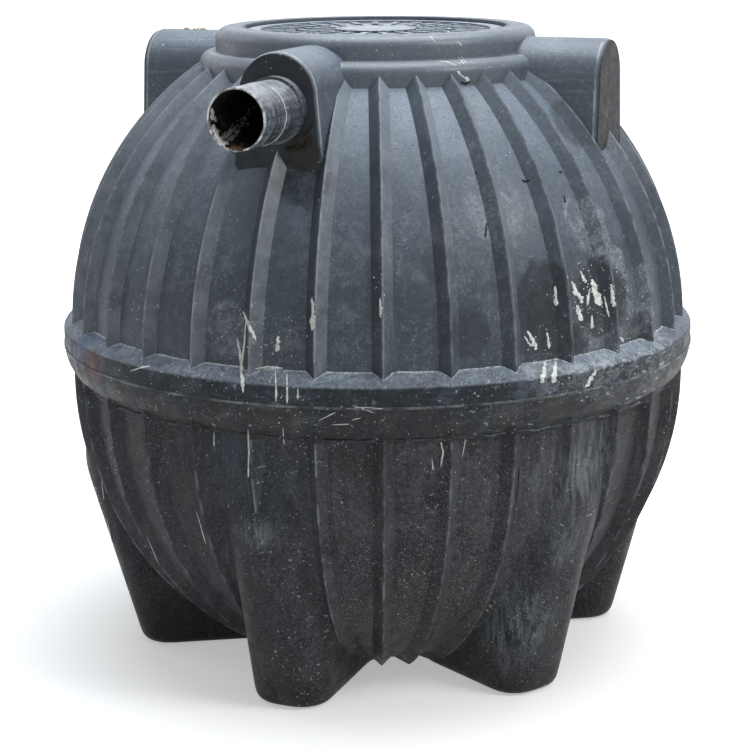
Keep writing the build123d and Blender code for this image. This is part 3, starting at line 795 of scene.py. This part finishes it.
class TANK_OT_stage(bpy.types.Operator):
    """Make the floor, the lamps, the world and the camera"""

    bl_idname = "tank.stage"
    bl_label = "Stage"

    def execute(self, context):
        scene = context.scene
        stage = scene.tank_stage
        self.camera(scene, stage)
        self.floor(scene, stage)
        self.world(scene)
        self.lamps(scene)
        scene.view_settings.view_transform = "Standard"
        return {"FINISHED"}

    def camera(self, scene, stage):
        data = bpy.data.cameras.new("photo_camera")
        data.lens = stage.lens
        data.sensor_width = 36.0
        data.sensor_fit = "AUTO"
        data.clip_end = 200.0
        camera = bpy.data.objects.new("photo_camera", data)
        scene.collection.objects.link(camera)
        turn = Matrix.Rotation(stage.camera_turn, 4, "Z")
        tilt = Matrix.Rotation(math.pi / 2 - stage.camera_tilt, 4, "X")
        roll = Matrix.Rotation(stage.camera_roll, 4, "Z")
        stand = turn @ Vector((-0.0028, -stage.camera_distance, stage.camera_height))
        camera.matrix_world = Matrix.Translation(stand) @ turn @ tilt @ roll
        scene.camera = camera

    def floor(self, scene, stage):
        bm = bmesh.new()
        bmesh.ops.create_grid(bm, x_segments=2, y_segments=2, size=stage.floor_half)
        mesh = bpy.data.meshes.new("floor")
        bm.to_mesh(mesh)
        bm.free()
        floor = bpy.data.objects.new("floor", mesh)
        scene.collection.objects.link(floor)
        f = Finish("floor_paint")
        matt = f.add("ShaderNodeBsdfDiffuse")
        matt.inputs["Color"].default_value = (0.82, 0.82, 0.82, 1.0)
        # The floor glows less near the tank: painted shade round its foot.
        bright = f.between(f.distance((0, 0, 0)), 0.8, 3.0, 0.40, 1.0)
        both = f.add("ShaderNodeAddShader")
        f.feed(both.inputs[0], matt.outputs[0])
        f.feed(both.inputs[1], f.emit("ShaderNodeEmission", WHITE, f.times(f.seen(), bright)))
        f.feed(f.add("ShaderNodeOutputMaterial").inputs["Surface"], both.outputs[0])
        mesh.materials.append(f.material)

    def world(self, scene):
        world = bpy.data.worlds.new("studio")
        world.use_nodes = True
        w = Nodes(world.node_tree)
        mix = w.add("ShaderNodeMixShader")
        w.feed(mix.inputs[0], w.seen())
        w.feed(mix.inputs[1], w.emit("ShaderNodeBackground", (0.90, 0.95, 1.0), 0.32))
        w.feed(mix.inputs[2], w.emit("ShaderNodeBackground", WHITE, 1.0))
        w.feed(w.add("ShaderNodeOutputWorld").inputs["Surface"], mix.outputs[0])
        scene.world = world

    def lamps(self, scene):
        turn = Matrix.Rotation(scene.tank_stage.camera_turn, 4, "Z")
        for name, place, size, power, colour in (
            ("sky_lamp", (0.3, 0.4, 5.4), 5.0, 330.0, (0.93, 0.97, 1.0)),
            ("key_lamp", (4.0, -2.6, 4.4), 2.2, 140.0, (1.0, 0.99, 0.97)),
            ("left_lamp", (-4.6, 2.2, 3.4), 2.4, 25.0, (0.93, 0.96, 1.0)),
        ):
            data = bpy.data.lights.new(name, "AREA")
            data.shape = "DISK"
            data.size = size
            data.energy = power
            data.color = colour
            lamp = bpy.data.objects.new(name, data)
            scene.collection.objects.link(lamp)
            lamp.location = turn @ Vector(place)
            aim = Vector((0, 0, 0.8)) - lamp.location
            lamp.rotation_euler = aim.to_track_quat("-Z", "Y").to_euler()


class TANK_OT_upper_half(bpy.types.Operator):
    """Finish the ribbed upper shells"""

    bl_idname = "tank.upper_half"
    bl_label = "Upper half"

    def execute(self, context):
        looks = context.scene.tank_looks
        f, rough, normal = upper_plastic(looks, sight())
        paint(group("upper_shell"), f.shade(rough, normal, looks.gloss))
        return {"FINISHED"}


class TANK_OT_neck(bpy.types.Operator):
    """Finish the neck and the four pipe housings"""

    bl_idname = "tank.neck"
    bl_label = "Neck and housings"

    def execute(self, context):
        looks = context.scene.tank_looks
        paint(group("neck"), neck_plastic(looks))
        paint(group("pipe_housing"), housing_plastic(looks, sight()))
        return {"FINISHED"}


class TANK_OT_lower_half(bpy.types.Operator):
    """Finish the ribbed lower shells and the floor of the tank"""

    bl_idname = "tank.lower_half"
    bl_label = "Lower half"

    def execute(self, context):
        paint(group("lower_shell", "bottom"), lower_plastic(context.scene.tank_looks, sight()))
        return {"FINISHED"}


class TANK_OT_legs(bpy.types.Operator):
    """Make the legs flow softly into the ribs, as they leave the mould"""

    bl_idname = "tank.legs"
    bl_label = "Legs"

    def execute(self, context):
        sizes = context.scene.tank_sizes
        finish = lower_plastic(context.scene.tank_looks, sight(), "leg_plastic", True)
        for number in range(1, 7):
            bm = moulded_leg(number, sizes.leg_voxel, sizes.leg_passes)
            leg = piece(f"moulded_leg_{number}", bm, finish)
            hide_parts(f"leg_{number}")
        return {"FINISHED"}


class TANK_OT_belt(bpy.types.Operator):
    """Finish the belt and add the ragged edge under it"""

    bl_idname = "tank.belt"
    bl_label = "Belt"

    def execute(self, context):
        finish = belt_plastic(context.scene.tank_looks, sight())
        paint(group("belt"), finish)
        bm = bmesh.new()
        wire_ring(bm, Vector((0, 0, BELT_FOOT_Z)), BELT_FOOT_RADIUS, 0.0042, 480, 0.006, True)
        piece("belt_edge_flash", bm, finish)
        bm = bmesh.new()
        wire_ring(bm, Vector((0, 0, BELT_TOP_Z)), VALLEY_RADIUS, 0.0019, 960, 0.0012, True)
        shell = Sight(context.scene.camera, group("upper_shell")).tree
        for vert in bm.verts:
            out = Vector((vert.co.x, vert.co.y, 0)).normalized()
            drop = 0.0
            for _ in range(3):
                level = Vector((0, 0, BELT_TOP_Z - drop))
                widening = shell.ray_cast(out * 0.8 + level, -out)[0].xy.length - VALLEY_RADIUS
                drop = BELT_SLOPE * widening
            vert.co += out * widening - Vector((0, 0, drop))
        # Pale blue-grey finish of the thin ring: a painted highlight along the belt's top lip.
        scraped = mud_finish("scraped_edge", (0.16, 0.19, 0.23), (0.62, 0.66, 0.70))
        piece("belt_top_flash", bm, scraped)
        return {"FINISHED"}


class TANK_OT_pipes(bpy.types.Operator):
    """Finish the pipes, with the worn lip, the bead line and the deposits in the inlet"""

    bl_idname = "tank.pipes"
    bl_label = "Pipes"

    def execute(self, context):
        looks = context.scene.tank_looks
        look = sight()
        finish = pipe_plastic(looks)
        paint(group("inlet", "outlet"), finish)
        centre_z = (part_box("inlet_pipe")[0][2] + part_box("inlet_pipe")[1][2]) / 2
        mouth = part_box("inlet_pipe")[0][1]
        chalk = lime_finish(looks)
        bm = bmesh.new()
        wire_ring(bm, Vector((0, mouth + 0.0024, centre_z)), PIPE_RADIUS - 0.0019, 0.0019, 96, 0.0014, False)
        piece("inlet_lip", bm, chalk)
        bead, _ = look.meet(286.0, 119.0)
        bm = bmesh.new()
        wire_ring(bm, Vector((0, bead.y, centre_z)), PIPE_RADIUS, 0.0009, 96, 0.0012, False)
        piece("inlet_bead", bm, chalk)
        bm = bmesh.new()
        for line, width, height in (
            ((213, 124, 216, 135, 223, 145), 10, 0.0035), ((217, 140, 227, 136, 235, 126), 5, 0.003),
            ((228, 141, 234, 137, 240, 130), 5, 0.003), ((212, 108, 213, 116, 216, 122), 5, 0.002),
            ((221, 147, 228, 142), 5, 0.003),
        ):
            dab(bm, look, line, width, height, 1.3)
        chance = random.Random(context.scene.tank_sizes.seed)
        for _ in range(70):
            share = chance.random()
            x = 214 + 36 * share + chance.gauss(0, 2.5)
            y = 144 - 30 * share ** 1.3 + chance.gauss(0, 4)
            step = chance.uniform(0.8, 4.0)
            if (x - 236) ** 2 / 22 ** 2 + (y - 121) ** 2 / 27 ** 2 < 1:
                dab(bm, look, (x, y, x + step, y - step), chance.uniform(0.6, 1.8), 0.0015, 0.9, 1)
        piece("inlet_scale", bm, chalk)
        bm = bmesh.new()
        dab(bm, look, (229, 148, 237, 149, 246, 146), 7, 0.004, 0.9)
        rust = mud_finish("rust_mud", (0.16, 0.07, 0.045), (0.05, 0.03, 0.02))
        piece("inlet_rust", bm, rust)
        bm = bmesh.new()
        for line, width, height in (
            ((284, 148, 292, 150, 301, 146), 7, 0.007), ((296, 150, 306, 146, 311, 138), 6, 0.006),
            ((302, 138, 309, 131, 313, 122), 4, 0.004),
        ):
            dab(bm, look, line, width, height, 0.9)
        mud = mud_finish("dark_mud", (0.010, 0.008, 0.006), (0.035, 0.028, 0.021))
        piece("inlet_mud", bm, mud)
        return {"FINISHED"}


class TANK_OT_lid(bpy.types.Operator):
    """Finish the lid"""

    bl_idname = "tank.lid"
    bl_label = "Lid"

    def execute(self, context):
        paint(group("lid"), lid_plastic(context.scene.tank_looks))
        return {"FINISHED"}


class TANK_OT_drips(bpy.types.Operator):
    """Add dried cement drips, scratches, scuffs and crumbs"""

    bl_idname = "tank.drips"
    bl_label = "Drips"

    # Drips: width, then places of the picture along the line.
    UPPER = (
        (3.2, 243, 311, 249, 326, 256, 341), (3.4, 237, 338, 240, 352, 241, 366, 243, 393),
        (4.4, 278, 336, 278, 343, 277, 352), (4.2, 312, 297, 313, 312, 312, 331),
        (3.0, 255, 369, 268, 367, 283, 369), (1.8, 275, 370, 276, 386, 276, 402), (1.8, 287, 372, 287, 404),
        (1.8, 298, 388, 298, 399), (2.8, 380, 298, 381, 318), (3.6, 555, 286, 556, 306),
        (5.0, 572, 281, 576, 292, 583, 303), (3.0, 580, 271, 586, 283), (7.0, 592, 279, 596, 293, 600, 306),
        (4.4, 611, 284, 614, 307), (5.0, 577, 305, 582, 321), (3.0, 592, 315, 592, 329),
        (5.0, 527, 331, 533, 341, 536, 350), (2.8, 547, 332, 549, 349), (5.2, 545, 361, 542, 383),
        (5.2, 556, 361, 553, 383), (4.0, 596, 370, 590, 380, 585, 388), (2.6, 590, 288, 587, 306),
        (2.2, 604, 296, 609, 317), (3.0, 620, 337, 623, 342), (1.6, 246, 320, 244, 345, 242, 366),
        (1.4, 130, 371, 140, 368, 150, 366), (2.0, 524, 336, 531, 347), (4.0, 465, 77, 469, 81),
        (2.4, 457, 71, 464, 78), (1.6, 248, 428, 249, 452, 248, 478), (2.0, 440, 437, 443, 452, 441, 467),
        (1.2, 283, 428, 284, 444), (1.4, 432, 458, 433, 470), (1.2, 214, 432, 214, 446),
    )
    # Flecks: how many, how far they scatter, then places along the line they scatter about.
    FLECKS = (
        (26, 5.0, 102, 430, 112, 472), (34, 2.2, 94, 482, 104, 530, 124, 590),
        (16, 8.0, 140, 470, 170, 540), (10, 4.0, 380, 300, 388, 340), (26, 9.0, 120, 370, 230, 392),
        (16, 6.0, 250, 520, 262, 552), (60, 22.0, 300, 440, 560, 450), (70, 26.0, 390, 500, 430, 640),
        (40, 16.0, 600, 240, 640, 340), (26, 14.0, 96, 340, 170, 250), (26, 16.0, 262, 640, 330, 700),
        (26, 14.0, 500, 620, 560, 660), (30, 14.0, 196, 290, 300, 330),
    )
    # Scratches: places along the line.
    SCRATCHES = (
        (429, 35, 436, 43), (457, 41, 462, 46), (458, 57, 464, 64), (461, 56, 466, 63),
        (438, 61, 448, 62, 457, 66), (345, 409, 362, 407, 384, 409), (352, 405, 374, 413),
        (318, 421, 336, 412), (361, 418, 352, 420), (101, 478, 104, 500), (107, 520, 116, 560),
        (196, 510, 206, 545), (146, 535, 166, 580), (462, 459, 466, 436), (330, 425, 350, 424),
    )
    LEG_CRUMBS = ((489, 604, 3.0), (486, 609, 2.4), (493, 600, 2.0), (298, 704, 2.0), (306, 703, 1.6))
    # Tar: width, then places along the line.
    SCUFFS = (
        (3.0, 521, 180, 527, 182, 530, 179), (2.0, 475, 171, 477, 174), (2.4, 559, 171, 562, 173),
        (2.4, 487, 222, 485, 238), (3.4, 460, 82, 466, 84, 470, 80), (2.0, 564, 195, 565, 203),
    )

    def execute(self, context):
        scene = context.scene
        looks, height = scene.tank_looks, scene.tank_sizes.drip_height
        look = sight()
        chance = random.Random(scene.tank_sizes.seed)
        bm = bmesh.new()
        for width, *line in self.UPPER:
            dab(bm, look, line, width * 1.1, height, 0.9, 4 if width > 2.9 else 3)
        for _, *line in self.UPPER[:25]:
            for _ in range(7):
                x, y = chance.choice(places(line))
                x, y = x + chance.gauss(0, 9), y + chance.gauss(0, 11)
                size = chance.uniform(0.7, 1.7)
                if look.meet(x, y)[0] is not None:
                    dab(bm, look, (x, y, x + chance.uniform(-1, 1), y + size), size, height * 0.6, 0.3, 1)
        for count, spread, *line in self.FLECKS:
            for _ in range(count):
                place, _ = along(places(line), chance.random())
                x, y = place.x + chance.gauss(0, spread), place.y + chance.gauss(0, spread)
                size = chance.uniform(0.5, 1.3)
                if look.meet(x, y)[0] is not None:
                    lean = chance.uniform(-0.6, 0.6)
                    dab(bm, look, (x, y, x + lean, y + size), size, height * 0.4, 0.5, 1)
        piece("cement_drips", bm, lime_finish(looks))
        bm = bmesh.new()
        for line in self.SCRATCHES:
            dab(bm, look, line, 1.0, 0.0004, 0.4, 2)
        piece("scratches", bm, lime_finish(looks))
        bm = bmesh.new()
        for width, *line in self.SCUFFS:
            dab(bm, look, line, width, 0.0006, 0.9)
        tar = mud_finish("tar", (0.006, 0.006, 0.007), (0.02, 0.02, 0.022))
        piece("tar_spots", bm, tar)
        bm = bmesh.new()
        for _ in range(16):
            x, y = chance.uniform(184, 205), chance.uniform(20.0, 20.8)
            spot, _ = look.meet(x, y)
            while spot is None:
                y += 0.8
                spot, _ = look.meet(x, y)
            lump(bm, spot, [chance.uniform(0.0015, 0.0045) for _ in range(3)], chance.uniform(0, 50))
        crumbs = mud_finish("crumbs", (0.45, 0.40, 0.30), (0.20, 0.17, 0.12))
        piece("housing_crumbs", bm, crumbs)
        bm = bmesh.new()
        for x, y, width in self.LEG_CRUMBS:
            dab(bm, look, (x, y, x + 2, y + width), width, 0.002, 0.8, 2)
        piece("leg_crumbs", bm, crumbs)
        return {"FINISHED"}


STEPS = (
    TANK_OT_stage, TANK_OT_upper_half, TANK_OT_neck, TANK_OT_lower_half, TANK_OT_legs, TANK_OT_belt,
    TANK_OT_pipes, TANK_OT_lid, TANK_OT_drips,
)


class TANK_PT_panel(bpy.types.Panel):
    """Buttons and settings of the tank"""

    bl_idname = "TANK_PT_panel"
    bl_label = "Septic tank"
    bl_space_type = "VIEW_3D"
    bl_region_type = "UI"
    bl_category = "Tank"

    def draw(self, context):
        for step in STEPS:
            self.layout.operator(step.bl_idname)
        for settings in (context.scene.tank_looks, context.scene.tank_sizes, context.scene.tank_stage):
            for key in settings.bl_rna.properties.keys():
                if key not in {"rna_type", "name"}:
                    self.layout.prop(settings, key)


CLASSES = (TankLooks, TankSizes, TankStage, *STEPS, TANK_PT_panel)


def register():
    for item in CLASSES:
        bpy.utils.register_class(item)
    bpy.types.Scene.tank_looks = bpy.props.PointerProperty(type=TankLooks)
    bpy.types.Scene.tank_sizes = bpy.props.PointerProperty(type=TankSizes)
    bpy.types.Scene.tank_stage = bpy.props.PointerProperty(type=TankStage)


def unregister():
    del bpy.types.Scene.tank_looks
    del bpy.types.Scene.tank_sizes
    del bpy.types.Scene.tank_stage
    for item in reversed(CLASSES):
        bpy.utils.unregister_class(item)


def main():
    register()
    bpy.ops.tank.stage()
    bpy.ops.tank.upper_half()
    bpy.ops.tank.neck()
    bpy.ops.tank.lower_half()
    bpy.ops.tank.legs()
    bpy.ops.tank.belt()
    bpy.ops.tank.pipes()
    bpy.ops.tank.lid()
    bpy.ops.tank.drips()


if __name__ == "__main__":
    main()
